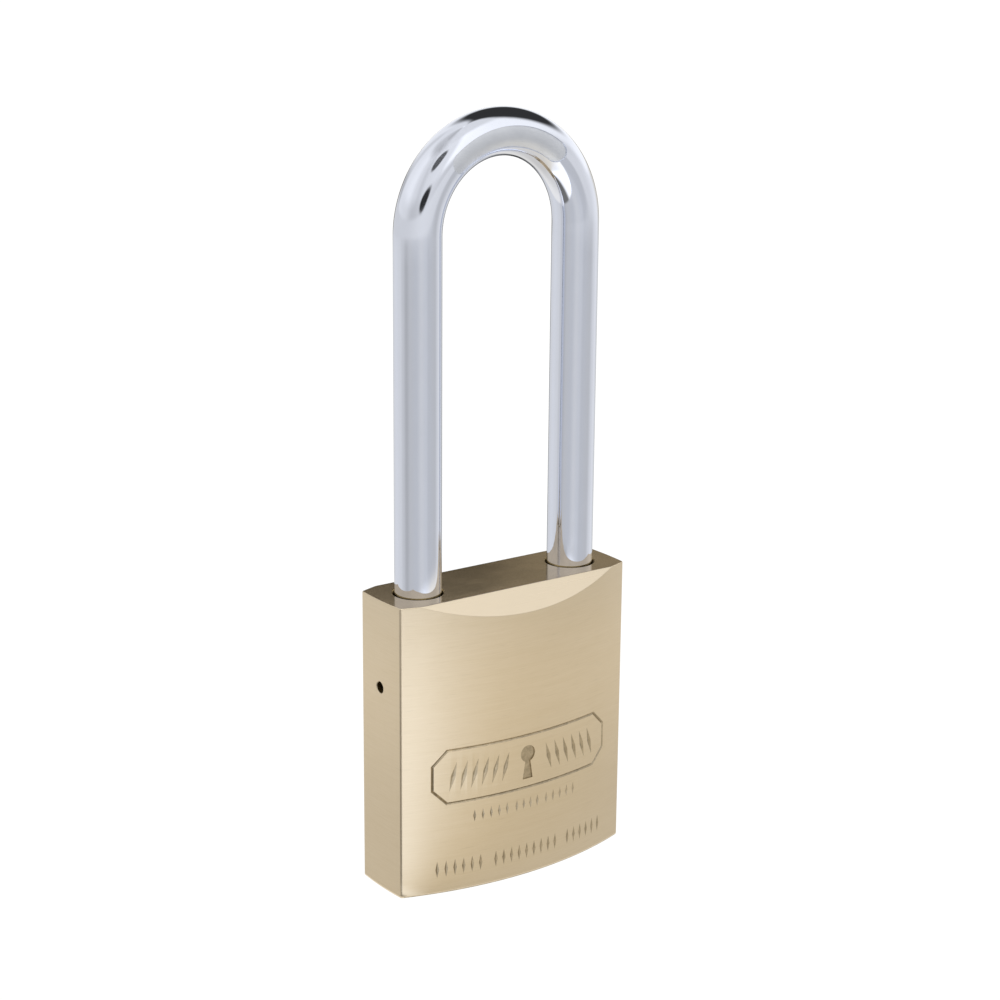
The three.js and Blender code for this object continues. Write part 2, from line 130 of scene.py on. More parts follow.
# Cylinder
loose = 0.3
running = 0.2
face_level = plug_low.z
cylinder_length = housing_high.z
plug_radius = 6
barrel_radius = 8
flange_length = 1.2
flange_lip = 0.6
neck_radius = 4.5
end_wall = 1.5
tongue_length = 4
tongue_top = plug_high.z
plug_top = tongue_top - tongue_length
tongue_half_width = 1.2
tongue_half_length = 2.6
chimney_half = 4
chimney_corner = 1.2
chimney_end = housing_high.x
keyway_deep_edge = -4.6
keyway_pin_edge = 1.4
keyway_half = 0.9
keyway_step = 0.7
keyway_top = cylinder_length - 4.5
clip_low, clip_high = corners("plug_retaining_clip")
clip_outside = 5.45
clip_inside = 3.95
strip_low, strip_high = corners("chamber_cover_strip")
screw_low, screw_high = corners("cylinder_retaining_screw")
screw_x = middle("cylinder_retaining_screw").x
screw_radius = 1.5
screw_head_radius = 2.6
screw_head_height = 2
screw_socket_radius = 1.4
screw_socket_depth = 1.2
pin_radius = 1.3
chamber_radius = pin_radius + 0.15
pin_count = 5
pin_heights = [middle(f"key_pin_{i + 1}").z for i in range(pin_count)]
key_pin_tips = [corners(f"key_pin_{i + 1}")[0].y for i in range(pin_count)]
key_pin_end = corners("key_pin_1")[1].y
key_pin_cone = 0.8
chamber_bottom = 0.6
driver_start, driver_end = [corner.x for corner in corners("driver_pin_1")]


# -------------------- node trees

class Signal:
    """A socket that adds Math nodes when it is used in an expression."""

    def __init__(self, graph, socket):
        self.graph = graph
        self.socket = socket

    def math(self, operation, *values):
        return self.graph.node("ShaderNodeMath", dict(enumerate(values)), operation=operation)

    def __add__(self, other):
        return self.math("ADD", self, other)

    def __sub__(self, other):
        return self.math("SUBTRACT", self, other)

    def __rsub__(self, other):
        return self.math("SUBTRACT", other, self)

    def __mul__(self, other):
        return self.math("MULTIPLY", self, other)

    def __truediv__(self, other):
        return self.math("DIVIDE", self, other)

    __radd__ = __add__
    __rmul__ = __mul__


class Graph:
    """A shader or geometry tree, whose nodes all come from one method."""

    def __init__(self, tree):
        self.tree = tree

    def node(self, kind, inputs=None, output=0, **settings):
        """Adds a node: its settings first, then the value or link of each input."""
        made = self.tree.nodes.new(kind)
        for name, value in settings.items():
            setattr(made, name, value)
        for key, value in (inputs or {}).items():
            if isinstance(value, Signal):
                self.tree.links.new(value.socket, made.inputs[key])
            else:
                made.inputs[key].default_value = value
        return Signal(self, made.outputs[output]) if made.outputs else None

    def vector(self, operation, a, b=(0, 0, 0), output=0):
        return self.node("ShaderNodeVectorMath", {0: a, 1: b}, output, operation=operation)


class Rule(Graph):
    """A geometry tree, named for what it makes, with what it is given by name."""

    def __init__(self, name, **inputs):
        super().__init__(bpy.data.node_groups.new(name, "GeometryNodeTree"))
        sockets = self.tree.interface
        sockets.new_socket("Geometry", in_out="OUTPUT", socket_type="NodeSocketGeometry")
        for label, kind in {"Geometry": "Geometry", **inputs, "Finish": "Material"}.items():
            sockets.new_socket(label, in_out="INPUT", socket_type=f"NodeSocket{kind}")
        source = self.tree.nodes.new("NodeGroupInput")
        self.given = {socket.name: Signal(self, socket) for socket in source.outputs if socket.name}

    def combine(self, **shares):
        return self.node("ShaderNodeCombineXYZ", shares)

    def swept(self, line, section):
        fields = {"Curve": line, "Profile Curve": section, "Fill Caps": True}
        return self.node("GeometryNodeCurveToMesh", fields)

    def end(self, shape):
        """Ends the tree in a real mesh that carries its finish."""
        real = self.node("GeometryNodeRealizeInstances", {"Geometry": shape})
        fields = {"Geometry": real, "Material": self.given["Finish"]}
        self.node("NodeGroupOutput", {"Geometry": self.node("GeometryNodeSetMaterial", fields)})
        return self.tree


# -------------------- materials

def linear(red, green, blue):
    """A colour as it is named on a 0 to 255 colour card."""
    def channel(value):
        share = value / 255
        return share / 12.92 if share <= 0.04045 else ((share + 0.055) / 1.055) ** 2.4
    return tuple(channel(value) for value in (red, green, blue)) + (1,)


def toned(colour, factor):
    return tuple(min(1, channel * factor) for channel in colour[:3]) + (1,)


class Surface(Graph):
    """A new material's tree."""

    def __init__(self, name):
        self.material = bpy.data.materials.new(name)
        self.material.use_nodes = True
        super().__init__(self.material.node_tree)
        self.tree.nodes.clear()

    def end(self, shader):
        self.node("ShaderNodeOutputMaterial", {"Surface": shader})
        return self.material


class Finish(Surface):
    """A metal's surface, written as expressions on the piece's own coordinates."""

    def __init__(self, name):
        super().__init__(name)
        place = self.node("ShaderNodeTexCoord", output="Object")
        self.place = self.vector("MULTIPLY", place, (1 / MM,) * 3)

    def grain(self, size, detail=3, roughness=0.55):
        """Noise from 0 to 1 whose grains measure size along X, Y and Z."""
        shares = self.vector("DIVIDE", self.place, size)
        fields = {"Vector": shares, "Scale": 1.0, "Detail": detail, "Roughness": roughness}
        return self.node("ShaderNodeTexNoise", fields)

    def round_grain(self, size):
        """Rings round the upright axis, as a lathe leaves them."""
        flat = self.vector("MULTIPLY", self.place, (1, 1, 0))
        radius = self.vector("LENGTH", flat, output="Value")
        rings = self.node("ShaderNodeCombineXYZ", {"X": radius / size, "Z": radius / 400})
        return self.node("ShaderNodeTexNoise", {"Vector": rings, "Scale": 1.0, "Detail": 3})

    def between(self, value, low, high):
        """Stretches the part of a value between low and high to 0 to 1."""
        fields = {"Value": value, "From Min": low, "From Max": high}
        return self.node("ShaderNodeMapRange", fields, clamp=True)

    def blend(self, share, first, second):
        fields = {0: share, 6: first, 7: second}
        return self.node("ShaderNodeMix", fields, 2, data_type="RGBA")

    def mottled(self, value, low, high, colour, dark, bright=1):
        """A colour that goes from its dark to its bright tone as a value goes from low to high."""
        return self.blend(self.between(value, low, high), toned(colour, dark), toned(colour, bright))

    def metal(self, colour, roughness, height, depth):
        """Ends the tree in a metal: depth is the bump's height between 0 and 1."""
        fields = {"Height": height, "Distance": depth * MM, "Strength": 1.0}
        bump = self.node("ShaderNodeBump", fields)
        fields = {"Base Color": colour, "Roughness": roughness, "Normal": bump, "Metallic": 1.0}
        return self.end(self.node("ShaderNodeBsdfPrincipled", fields))


PALE_BRASS = linear(228, 213, 188)
BRASS_SHADOW = linear(214, 197, 167)
# The flats' colour, darker and warmer than the body's brass: painted shade.
SHADED_FLATS_BRASS = linear(207, 186, 153)
DEEP_BRASS = linear(196, 168, 112)
CHROME = linear(237, 241, 252)
STEEL = linear(196, 200, 206)
NICKEL = linear(206, 200, 184)
BLACKENED = linear(62, 62, 66)


def brushed_faces():
    """Satin brass, brushed level all round the body."""
    finish = Finish("brushed_brass")
    broad = finish.grain((26, 26, 0.7), 3, 0.6)
    lines = finish.grain((6.5, 6.5, 0.2), 3, 0.7)
    fine = finish.grain((2.4, 2.4, 0.07), 2, 0.6)
    cloud = finish.grain((13, 13, 10), 2)
    scratch = finish.between(finish.grain((3.4, 3.4, 0.15), 1, 0.4), 0.66, 0.8)
    tone = finish.between(broad * 0.2 + lines * 0.4 + fine * 0.2 + cloud * 0.2, 0.25, 0.75)
    colour = finish.blend(tone, BRASS_SHADOW, PALE_BRASS)
    colour = finish.blend(scratch * 0.3, colour, toned(BRASS_SHADOW, 0.78))
    rough = 0.29 + lines * 0.1 + broad * 0.04 - scratch * 0.05
    height = broad * 0.15 + lines * 0.5 + fine * 0.35 - scratch * 0.3
    return finish.metal(colour, rough, height, 0.014)


def crescent_face():
    """The crescent chamfers, cut with a fine mill, their colour lighter than the body's as a painted
    highlight.
    """
    finish = Finish("milled_brass_bright")
    lines = finish.grain((30, 0.16, 0.16), 3)
    cloud = finish.grain((9, 6, 6), 2)
    # Painted highlight: the colour runs from the pale brass up to 1.12 times it, lighter than the brushed
    # faces.
    colour = finish.blend(cloud * 0.6 + lines * 0.4, PALE_BRASS, toned(PALE_BRASS, 1.12))
    return finish.metal(colour, 0.24 + lines * 0.1, lines, 0.008)


def top_face():
    """The flat top and underside, milled and half polished, in a darker, warmer brass as painted shade."""
    finish = Finish("milled_brass_flats")
    lines = finish.grain((24, 0.2, 1), 3, 0.6)
    cloud = finish.grain((7, 5, 5), 3)
    # Painted shade: the flats take the darker, warmer brass, mottled at random.
    colour = finish.mottled(cloud, 0.35, 0.65, SHADED_FLATS_BRASS, 0.86)
    return finish.metal(colour, 0.1 + lines * 0.05 + cloud * 0.04, lines, 0.004)


def bored_brass():
    """Inside the holes: drilled brass with rings and some grime, over a colour darkened as painted shade."""
    finish = Finish("bored_brass")
    rings = finish.grain((60, 60, 0.12), 3)
    grime_and_shade = finish.grain((2.5, 2.5, 3.5), 4)
    # Painted shade inside the holes: the colour runs from 0.42 to 0.85 of the deep brass, mottled at random.
    colour = finish.mottled(grime_and_shade, 0.35, 0.7, DEEP_BRASS, 0.42, 0.85)
    return finish.metal(colour, 0.34 + grime_and_shade * 0.16, rings, 0.015)


def engraved_brass():
    """The floor of each engraved stroke, dulled, and darker as painted shade."""
    finish = Finish("engraved_brass")
    grime_and_shade = finish.grain((0.8, 0.8, 0.8), 4, 0.7)
    # Painted shade in the strokes: the floor takes 0.5 to 0.82 of the darker brass, mottled at random.
    colour = finish.mottled(grime_and_shade, 0.3, 0.7, BRASS_SHADOW, 0.5, 0.82)
    return finish.metal(colour, 0.3 + grime_and_shade * 0.14, grime_and_shade, 0.012)


def machined_brass():
    """Turned brass, yellower than the body."""
    finish = Finish("machined_brass")
    rings = finish.round_grain(0.16)
    lines = finish.grain((6, 6, 0.11), 3)
    cloud = finish.grain((2, 2, 2), 3)
    colour = finish.mottled(cloud, 0.3, 0.7, DEEP_BRASS, 0.82)
    return finish.metal(colour, 0.24 + rings * 0.12, rings * 0.5 + lines * 0.5, 0.012)


def chrome_plate():
    """Bright chrome over a drawn bar, with its slight waviness."""
    finish = Finish("chrome_plate")
    wave = finish.grain((3.5, 3.5, 16), 2)
    haze = finish.grain((1.4, 1.4, 4), 4)
    colour = finish.mottled(haze, 0, 1, CHROME, 0.95)
    rough = 0.045 + finish.between(haze, 0.5, 0.75) * 0.05
    return finish.metal(colour, rough, wave, 0.012)


def matt_panel():
    """The stamped panel on the arch, sunk and left matt."""
    finish = Finish("matt_chrome")
    peen = finish.grain((0.22, 0.22, 0.22), 3, 0.6)
    cloud = finish.grain((3, 3, 3), 2)
    colour = finish.blend(cloud, linear(206, 209, 216), linear(226, 229, 235))
    return finish.metal(colour, 0.34 + peen * 0.12, peen, 0.03)


def ground_steel():
    """Hardened balls, ground and polished."""
    finish = Finish("ball_steel")
    cloud = finish.grain((1.1, 1.1, 1.1), 3)
    lines = finish.grain((3, 0.12, 0.4), 2)
    colour = finish.mottled(cloud, 0, 1, STEEL, 0.9)
    return finish.metal(colour, 0.08 + cloud * 0.08, lines, 0.003)


def drawn_wire():
    """Spring wire, with lengthwise drawing marks and oil in the turns."""
    finish = Finish("spring_steel")
    marks = finish.grain((0.5, 0.5, 0.07), 3)
    oil = finish.grain((1.6, 1.6, 1.6), 3)
    colour = finish.mottled(oil, 0.3, 0.7, STEEL, 0.45, 0.8)
    return finish.metal(colour, 0.24 + oil * 0.16, marks, 0.006)


def nickel_silver():
    """The plug and the driver pins: grey-yellow, turned."""
    finish = Finish("nickel_silver")
    rings = finish.round_grain(0.13)
    scuffs = finish.between(finish.grain((0.3, 2.4, 0.3), 2), 0.6, 0.78)
    cloud = finish.grain((2.2, 2.2, 2.2), 3)
    colour = finish.mottled(cloud, 0.3, 0.7, NICKEL, 0.82)
    return finish.metal(colour, 0.22 + rings * 0.14 + scuffs * 0.08, rings - scuffs * 0.3, 0.012)


def black_oxide():
    """Oiled black steel, rubbed grey on its high spots."""
    finish = Finish("black_oxide")
    cloud = finish.grain((0.9, 0.9, 0.9), 4, 0.65)
    colour = finish.mottled(cloud, 0.55, 0.75, BLACKENED, 1, 2.2)
    return finish.metal(colour, 0.36 + cloud * 0.16, cloud, 0.012)


# -------------------- meshes

def shown(name, data):
    """A new object in the scene that holds the data."""
    thing = bpy.data.objects.new(name, data)
    scene.collection.objects.link(thing)
    return thing


def new_piece(name, vertices, faces):
    mesh = bpy.data.meshes.new(name)
    mesh.from_pydata([Vector(v) * MM for v in vertices], [], faces)
    piece = shown(name, mesh)
    tidy(piece)
    return piece


def tidy(piece, reach=0.0004, nearly_straight=0.15):
    """Joins doubled points, drops slivers, closes gaps and turns every face outwards."""
    shape = bmesh.new()
    shape.from_mesh(piece.data)
    bmesh.ops.remove_doubles(shape, verts=shape.verts, dist=reach * MM)
    bmesh.ops.dissolve_degenerate(shape, edges=shape.edges, dist=reach * MM / 2)
    bmesh.ops.delete(shape, geom=loose_slivers(shape), context="FACES")
    spare = [
        corner for corner in shape.verts
        if len(corner.link_edges) == 2 and corner.calc_edge_angle(math.pi) < nearly_straight
        and all(len(face.verts) > 3 for face in corner.link_faces)
    ]
    bmesh.ops.dissolve_verts(shape, verts=spare)
    gaps = [edge for edge in shape.edges if edge.is_boundary]
    bmesh.ops.holes_fill(shape, edges=gaps, sides=8)
    bmesh.ops.recalc_face_normals(shape, faces=shape.faces)
    shape.to_mesh(piece.data)
    shape.free()


def loose_slivers(shape, fewest=4):
    """The faces of every island that has too few faces to be a solid."""
    found = []
    waiting = set(shape.faces)
    while waiting:
        island = [waiting.pop()]
        for face in island:
            near = {other for corner in face.verts for other in corner.link_faces} & waiting
            waiting -= near
            island += near
        if len(island) < fewest:
            found += island
    return found


def bands(levels, count, closed=False):
    """The faces between rings of points that follow each other."""
    faces = []
    for level in range(levels if closed else levels - 1):
        here = level * count
        above = (level + 1) % levels * count
        for i in range(count):
            j = (i + 1) % count
            faces.append((here + i, here + j, above + j, above + i))
    return faces


def skinned(name, rings, closed=False):
    """A skin over rings of points, capped at both ends or joined into a loop."""
    count = len(rings[0])
    vertices = [point for ring in rings for point in ring]
    faces = bands(len(rings), count, closed)
    if not closed:
        last = (len(rings) - 1) * count
        faces.append(tuple(reversed(range(count))))
        faces.append(tuple(range(last, last + count)))
    return new_piece(name, vertices, faces)


def bent(start, hub, end, share):
    """A point on the bend that leaves start towards hub and arrives at end."""
    return start * (1 - share) ** 2 + hub * 2 * share * (1 - share) + end * share * share


def around(radius, angle):
    """The point at an angle round a circle."""
    return radius * math.cos(angle), radius * math.sin(angle)


def eased(points, reach, steps=3, closed=False):
    """A bent line's points with each corner rounded over a reach to either side."""
    made = []
    count = len(points)
    for i, point in enumerate(points):
        here = Vector(point)
        if not closed and i in (0, count - 1):
            made.append(here)
            continue
        back = Vector(points[i - 1]) - here
        on = Vector(points[(i + 1) % count]) - here
        start = here + back.normalized() * min(reach, back.length * 0.45)
        end = here + on.normalized() * min(reach, on.length * 0.45)
        made += [bent(start, here, end, k / steps) for k in range(steps + 1)]
    return made


def turned(name, profile, axis="Z", at=(0, 0, 0), sides=72, ease=0.0):
    """A lathe's work: profile is [radius, distance along the axis] from end to end."""
    line = eased(profile, ease) if ease else profile
    spots = {
        "X": lambda r, h, c, s: (h, r * c, r * s),
        "Y": lambda r, h, c, s: (r * s, h, r * c),
        "Z": lambda r, h, c, s: (r * c, r * s, h),
    }[axis]
    rings = []
    for r, h in line:
        angles = [2 * math.pi * i / sides for i in range(sides)]
        ring = [Vector(spots(r, h, math.cos(a), math.sin(a))) + Vector(at) for a in angles]
        rings.append(ring)
    return skinned(name, rings)


def drill(radius, bottom, top, x=0, flare=0.0, axis="Z", z=0, sides=72):
    """A cutter for a round hole, whose mouth, a little before the cutter's top, may be flared."""
    mouth = top - past
    profile = [[0, bottom], [radius, bottom]]
    if flare:
        profile += [[radius, mouth - flare], [radius + flare + past, top]]
    else:
        profile += [[radius, top]]
    profile.append([0, top])
    return turned("drill", profile, axis, (x, 0, z), sides)


def ways(points, i):
    """The directions in which a closed line reaches one of its points and leaves it."""
    here, on = Vector(points[i]), Vector(points[(i + 1) % len(points)])
    return (here - Vector(points[i - 1])).normalized(), (on - here).normalized()


def raised(name, outline, bottom, top, ease=0.0):
    """A flat outline raised between two heights, with its rims rounded by ease."""
    inward = []
    for i in range(len(outline)):
        before, after = ways(outline, i)
        way = before + after
        inward.append(Vector((-way.y, way.x)).normalized())
    area = sum(a[0] * b[1] - b[0] * a[1] for a, b in zip(outline, [*outline[1:], outline[0]]))
    side = 1 if area > 0 else -1
    levels = [(0, bottom), (0, top)]
    if ease:
        steps = [math.radians(angle) for angle in (0, 30, 60, 90)]
        low = [(ease * (1 - math.sin(a)), bottom + ease * (1 - math.cos(a))) for a in steps]
        high = [(inset, top + bottom - z) for inset, z in reversed(low)]
        levels = low + high
    rings = []
    for inset, z in levels:
        ring = []
        for point, way in zip(outline, inward):
            moved = Vector(point[:2]) + way * inset * side
            ring.append((moved.x, moved.y, z))
        rings.append(ring)
    return skinned(name, rings)


def block(name, low, high):
    x, y, z = low
    u, v, w = high
    return raised(name, [(x, y), (u, y), (u, v), (x, v)], z, w)


def settle(piece):
    """A new piece whose plain mesh is what the modifiers make of the old one, which goes."""
    graph = bpy.context.evaluated_depsgraph_get()
    evaluated = piece.evaluated_get(graph)
    made = bpy.data.meshes.new_from_object(evaluated, preserve_all_data_layers=True, depsgraph=graph)
    name = piece.name
    discard(piece)
    made.name = name
    return shown(name, made)


def discard(piece):
    old = piece.data
    kept_in = bpy.data.meshes if piece.type == "MESH" else bpy.data.curves
    bpy.data.objects.remove(piece)
    kept_in.remove(old)


def rod(name, radius, low, high, **more):
    """A plain upright round."""
    return turned(name, [[0, low], [radius, low], [radius, high], [0, high]], **more)


def ball(name, radius, at, steps):
    half_turn = [math.pi * i / steps for i in range(steps + 1)]
    profile = [[radius * math.sin(a), -radius * math.cos(a)] for a in half_turn]
    return turned(name, profile, "Z", at, 2 * steps)


def worked(piece, tools, operation="DIFFERENCE", reach=0.002):
    """The piece with each tool's shape taken off it, or joined to it."""
    for tool in tools:
        step = piece.modifiers.new("work", "BOOLEAN")
        step.operation = operation
        step.solver = "EXACT"
        step.object = tool
    piece = settle(piece)
    for tool in tools:
        discard(tool)
    tidy(piece, reach)
    return piece


def quarter_turned(piece):
    """Turns a locked piece to the open position that the padlock rests in."""
    piece.data.transform(Matrix.Rotation(opening_turn, 4, "Z"))
    return piece


def dressed(piece, body, nodes, finishes, rule=None, sharp=32):
    """Gives a finished mesh its materials and normals, and puts it on its body."""
    mesh = piece.data
    mesh.materials.clear()
    for finish in finishes:
        mesh.materials.append(finish)
    for face in mesh.polygons:
        face.material_index = rule(face.center / MM, face.normal) if rule else 0
    mesh.shade_smooth()
    mesh.set_sharp_from_angle(angle=math.radians(sharp))
    weighting = piece.modifiers.new("normals", "WEIGHTED_NORMAL")
    weighting.keep_sharp = True
    weighting.weight = 90
    piece = settle(piece)
    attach(piece, body)
    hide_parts(*nodes)
    return piece


# -------------------- body

bow_half = half_width - edge_round
bow_radius = (bow_half ** 2 + face_bow ** 2) / (2 * face_bow)


def front_depth(x):
    """How far the front and back faces stand from the middle plane."""
    return half_corner + math.sqrt(bow_radius ** 2 - x ** 2) - (bow_radius - face_bow)


def bowed(start, end, bow, steps):
    """Points and outward ways of a bowed edge from start to end, anticlockwise."""
    a, b = Vector(start), Vector(end)
    along = (b - a).normalized()
    out = Vector((along.y, -along.x))
    half = (b - a).length / 2
    radius = (half ** 2 + bow ** 2) / (2 * bow)
    made = []
    for i in range(steps + 1):
        s = half * (2 * i / steps - 1)
        rise = math.sqrt(radius ** 2 - s ** 2)
        point = (a + b) / 2 + along * s + out * (rise - radius + bow)
        made.append((point, along * (s / radius) + out * (rise / radius)))
    return made


def body_outline():
    """The body in plan: bowed faces joined by rounded edges, as points and outward ways."""
    x, y, c = half_width, half_corner, edge_round
    face_steps, side_steps, steps = 96, 10, 7
    sides = [
        bowed((-x + c, -y), (x - c, -y), face_bow, face_steps),
        bowed((x, -y + c), (x, y - c), side_bow, side_steps),
        bowed((x - c, y), (-x + c, y), face_bow, face_steps),
        bowed((-x, y - c), (-x, -y + c), side_bow, side_steps),
    ]
    made = []
    for i, side in enumerate(sides):
        made += side
        start, start_way = side[-1]
        end, end_way = sides[(i + 1) % 4][0]
        turn = start_way.angle_signed(end_way)
        leave = Vector((-start_way.y, start_way.x))
        arrive = Vector((-end_way.y, end_way.x))
        reach = (end - start).length / (2 * math.cos(abs(turn) / 2))
        hub = (start + leave * reach + end - arrive * reach) / 2
        for k in range(1, steps):
            way = start_way.lerp(end_way, k / steps).normalized()
            made.append((bent(start, hub, end, k / steps), way))
    return made


def body_column(point, way):
    """Inset and height up one upright of the body, from the base to the edge of the flat top."""
    made = []
    for degrees in (-90, -60, -30, 0):
        a = math.radians(degrees)
        made.append((base_round * (1 - math.cos(a)), base_round * (1 + math.sin(a))))
    tilt = crescent_slope * abs(way.y)
    stretch = math.hypot(1, tilt)
    edge = body_top - crescent_slope * (abs(point.y) - top_flat_half) - rim_round * stretch
    low = edge + tilt * rim_round
    if low >= body_top - rim_round or tilt < 0.1:
        foot = head = (rim_round, body_top - rim_round)
    else:
        foot = (rim_round, low)
        head = ((body_top - rim_round - edge) / tilt, body_top - rim_round)
    slope = math.atan2(1, tilt) if tilt >= 0.1 else math.pi / 4
    for centre, first, last in ((foot, 0, slope), (head, slope, math.pi / 2)):
        for k in range(4):
            a = first + (last - first) * k / 3
            made.append((centre[0] - rim_round * math.cos(a), centre[1] + rim_round * math.sin(a)))
    return made


def body_blank():
    outline = body_outline()
    columns = [body_column(*spot) for spot in outline]
    rings = []
    for level in range(len(columns[0])):
        ring = []
        for (point, way), column in zip(outline, columns):
            inset, z = column[level]
            ring.append((point.x - way.x * inset, point.y - way.y * inset, z))
        rings.append(ring)
    return skinned("padlock_body", rings)


def cylinder_outline(grow, steps=96):
    """The barrel and the chimney that holds the pins, in plan."""
    radius = barrel_radius + grow
    half = chimney_half + grow
    start = math.asin(half / radius)
    sweep = 2 * (math.pi - start)
    made = [around(radius, start + sweep * i / steps) for i in range(steps + 1)]
    end = chimney_end + grow
    c = chimney_corner
    return made + [(end - c, -half), (end, -half + c), (end, half - c), (end - c, half)]


# -------------------- engraving

engraving_depth = 0.22
engraving_proud = 0.3
engraving_cut = engraving_depth + engraving_proud


def marks_tree():
    """Geometry nodes: a row of V-shaped strokes set evenly along the bowed face."""
    rule = Rule(
        "row_of_strokes", Count="Int", First="Float", Last="Float", Level="Float",
        Stroke_size="Vector", Lean="Float", Bow_radius="Float", Bow_centre="Float", Proud="Float",
    )
    given = rule.given
    line = rule.node(
        "GeometryNodeMeshLine",
        {
            "Count": given["Count"],
            "Start Location": rule.combine(X=given["First"], Z=given["Level"]),
            "Offset": rule.combine(X=given["Last"], Z=given["Level"]),
        },
        mode="END_POINTS",
    )
    spot = rule.node("GeometryNodeInputPosition")
    share = rule.node("ShaderNodeSeparateXYZ", {0: spot}, "X") / given["Bow_radius"]
    angle = share.math("ARCSINE", share)
    depth = angle.math("COSINE", angle) * given["Bow_radius"] + given["Bow_centre"] + given["Proud"]
    away = rule.combine(Y=depth * -1)
    row = rule.node("GeometryNodeSetPosition", {"Geometry": line, "Offset": away})
    fields = {"Vertices": 4, "Radius Top": 0.0, "Radius Bottom": 0.5, "Depth": 1.0}
    shape = rule.node("GeometryNodeMeshCone", fields, "Mesh")
    for step in (
        {"Rotation": (-math.pi / 2, 0, 0)},
        {"Scale": given["Stroke_size"]},
        {"Rotation": rule.combine(Y=given["Lean"])},
    ):
        shape = rule.node("GeometryNodeTransform", {"Geometry": shape, **step})
    fields = {"Points": row, "Instance": shape, "Rotation": rule.combine(Z=angle)}
    return rule.end(rule.node("GeometryNodeInstanceOnPoints", fields))


def apply_tree(piece, tree, **values):
    """Runs a geometry node tree with named inputs, and keeps the mesh that it makes."""
    step = piece.modifiers.new("rule", "NODES")
    step.node_group = tree
    inputs = {s.name: s.identifier for s in tree.interface.items_tree if s.in_out == "INPUT"}
    for name, value in values.items():
        step[inputs[name]] = value
    return settle(piece)


def stroke_row(tree, finish, first, last, count, level, width, height, lean=0.0):
    """A cutter for one row of engraved strokes."""
    spread = engraving_cut / engraving_depth
    tool = apply_tree(
        new_piece("strokes", [], []), tree,
        Count=count, First=first * MM, Last=last * MM, Level=level * MM,
        Stroke_size=(width * spread * MM, engraving_cut * MM, height * spread * MM),
        Lean=lean, Bow_radius=bow_radius * MM,
        Bow_centre=(half_corner + face_bow - bow_radius) * MM, Proud=engraving_proud * MM,
        Finish=finish,
    )
    tidy(tool)
    return tool


def groove_loop(points, width):
    """A cutter for a V groove along a closed line of [x, z] points on the front face."""
    fine = []
    for i, (x, z) in enumerate(points):
        u, w = points[(i + 1) % len(points)]
        steps = max(1, round(math.hypot(u - x, w - z) / 0.9))
        fine += [(x + (u - x) * k / steps, z + (w - z) * k / steps) for k in range(steps)]
    half = width / 2 * engraving_cut / engraving_depth
    rings = []
    for i, (x, z) in enumerate(fine):
        before, after = ways(fine, i)
        way = (before + after).normalized()
        wide = half / max(0.5, way.dot(after))
        a = math.asin(x / bow_radius)
        out = Vector((math.sin(a), -math.cos(a), 0))
        flat = Vector((math.cos(a), math.sin(a), 0))
        side = (flat * -way.y + Vector((0, 0, way.x))) * wide
        spot = Vector((x, -front_depth(x), z))
        rings.append([
            spot + out * engraving_proud + side,
            spot - out * engraving_depth,
            spot + out * engraving_proud - side,
            spot + out * (engraving_proud + 0.4),
        ])
    return skinned("groove", rings, closed=True)


def keyhole_pocket(level):
    """A cutter for a shallow keyhole sign in the middle of the front face."""
    eye, slot_top, slot_foot, drop = 1.5, 0.55, 1.05, 4.6
    start = math.asin(slot_top / eye)
    steps = 40
    sweep = 2 * math.pi - 2 * start
    outline = [around(eye, -math.pi / 2 + start + sweep * i / steps) for i in range(steps + 1)]
    outline += [(-slot_foot, -drop), (slot_foot, -drop)]
    front, floor = -body_high.y - past, -body_high.y + engraving_depth
    rings = [[(x, y, level + z) for x, z in outline] for y in (front, floor)]
    return skinned("keyhole", rings)


def engraving_tools(finish):
    """A cut-cornered frame with a keyhole and strokes in it, and rows of plain strokes."""
    left, right, low, high, cut = -18.2, 18.2, 16.4, 26.0, 2.6
    middle_level = (low + high) / 2
    frame_line = [
        (left + cut, low), (right - cut, low), (right, low + cut), (right, high - cut),
        (right - cut, high), (left + cut, high), (left, high - cut), (left, low + cut),
    ]
    tree = marks_tree()
    # Each row: its first and last stroke, their count, level, width and height, and their lean
    rows = [
        (-14.6, -4.6, 6, middle_level, 0.9, 5.4, 0.26),
        (4.6, 14.6, 6, middle_level, 0.9, 5.4, -0.26),
        (-10.6, -4.2, 5, 13.4, 0.55, 2.2),
        (-2.2, 2.2, 4, 13.4, 0.55, 2.2),
        (4.2, 10.6, 5, 13.4, 0.55, 2.2),
        (-17.4, -9.4, 6, 4.5, 0.65, 3.0),
        (-6.4, 6.4, 9, 4.5, 0.65, 3.0),
        (9.4, 17.4, 6, 4.5, 0.65, 3.0),
    ]
    tools = [groove_loop(frame_line, 0.5), keyhole_pocket(middle_level + 1.4)]
    return tools + [stroke_row(tree, finish, *row) for row in rows]


